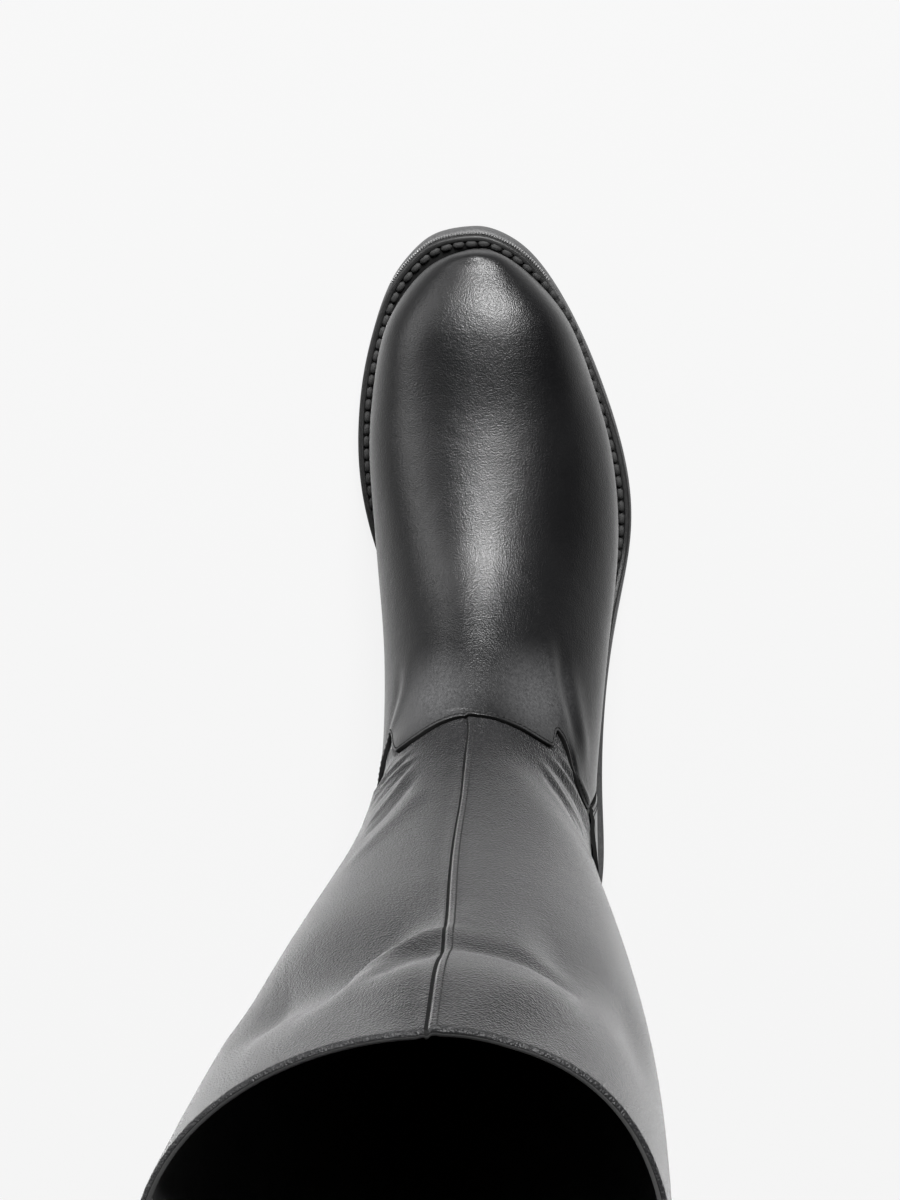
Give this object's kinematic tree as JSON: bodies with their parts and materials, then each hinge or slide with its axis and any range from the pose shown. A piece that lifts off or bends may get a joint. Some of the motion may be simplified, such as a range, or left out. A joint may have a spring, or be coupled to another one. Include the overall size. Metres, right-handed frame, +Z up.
{
  "type": "riding boot",
  "caption": "Tall pull-on leather riding boot for the right foot: hollow shaft and foot with a scalloped vamp and counter laid over it, welted sole with toe spring and a low block heel.",
  "frame": {"origin": "middle of the heel's flat rest face, on the floor", "axes": "+X along the sole towards the toe, +Y to the inner side of this right boot, +Z up along the shaft"},
  "size_m": [0.3048, 0.1312, 0.4001],
  "materials": {
    "leather": "satin",
    "sole": "satin",
    "insole": "matte"
  },
  "bodies": {
    "root": {"outsole": "sole", "heel": "sole", "welt": "sole", "insole": "insole", "upper": "leather", "vamp": "leather", "counter": "leather", "front_seam": "leather"}
  },
  "joints": []
}
